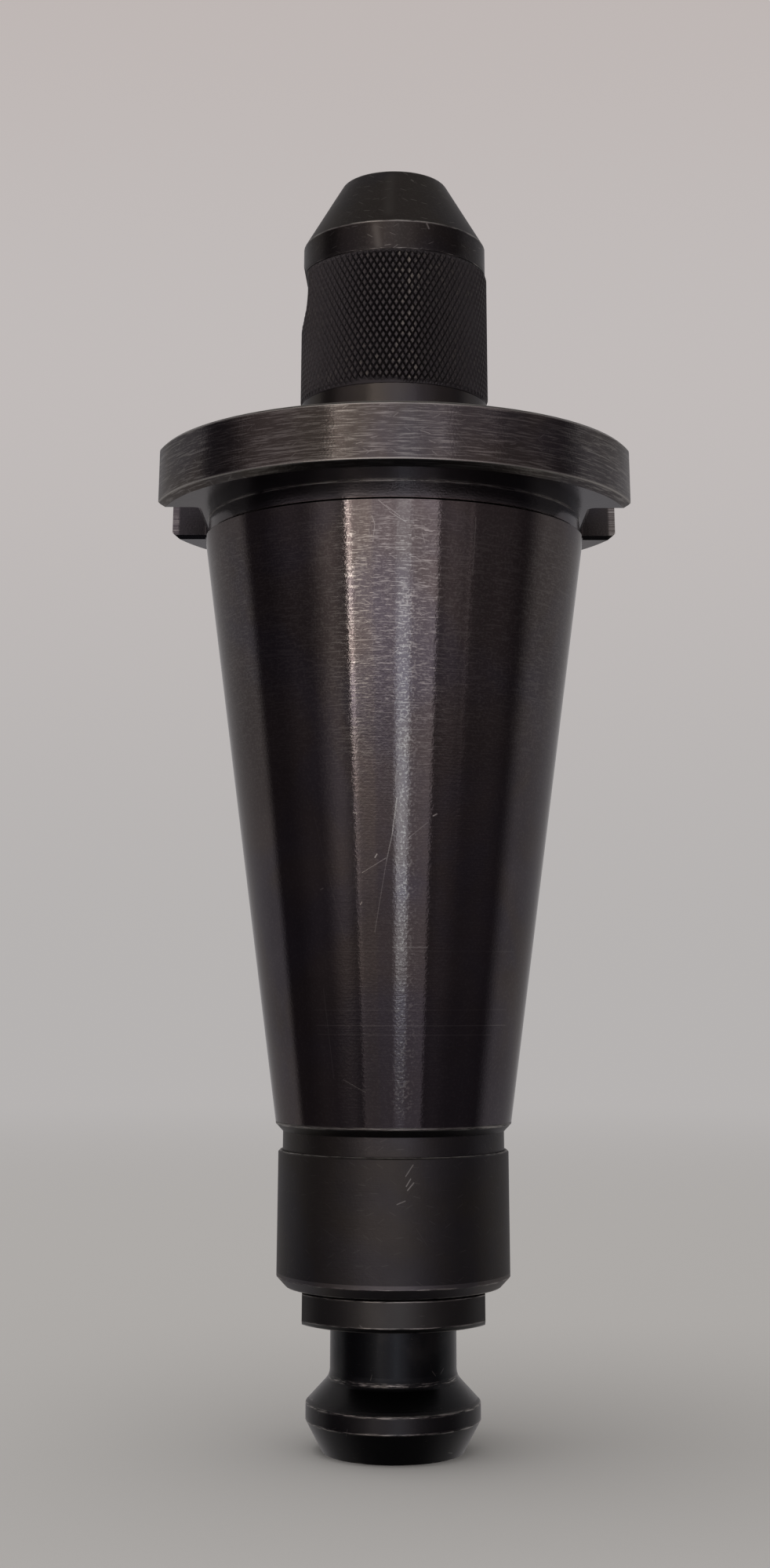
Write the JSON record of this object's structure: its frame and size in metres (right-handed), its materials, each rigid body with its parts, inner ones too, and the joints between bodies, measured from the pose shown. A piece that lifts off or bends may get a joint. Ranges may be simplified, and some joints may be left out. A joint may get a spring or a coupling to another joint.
{
  "type": "endmill holder",
  "caption": "Milling machine tool holder: steep-taper shank, slotted drive flange, knurled nose with a side-lock set screw over the tool bore, and a pull stud in the small end.",
  "frame": {"origin": "on the axis, in the gauge plane where the steep taper has its nominal diameter", "axes": "+Z along the axis towards the nose and the mouth of the tool bore, -X towards the set screw, the drive slots at +X and -X"},
  "size_m": [0.0852, 0.0888, 0.2218],
  "materials": {
    "holder_steel": "worn black oxide over ground and turned alloy steel",
    "screw_steel": "black oxide",
    "knob_steel": "black oxide over turned alloy steel"
  },
  "bodies": {
    "holder": {"holder_body": "holder_steel", "retention_knob": "knob_steel"},
    "side_screw": {"set_screw": "screw_steel"}
  },
  "joints": [
    {"name": "set_screw_travel", "type": "slide", "parent": "holder", "child": "side_screw", "axis": [1, 0, 0], "range_m": [-0.005, 0.0019]}
  ]
}
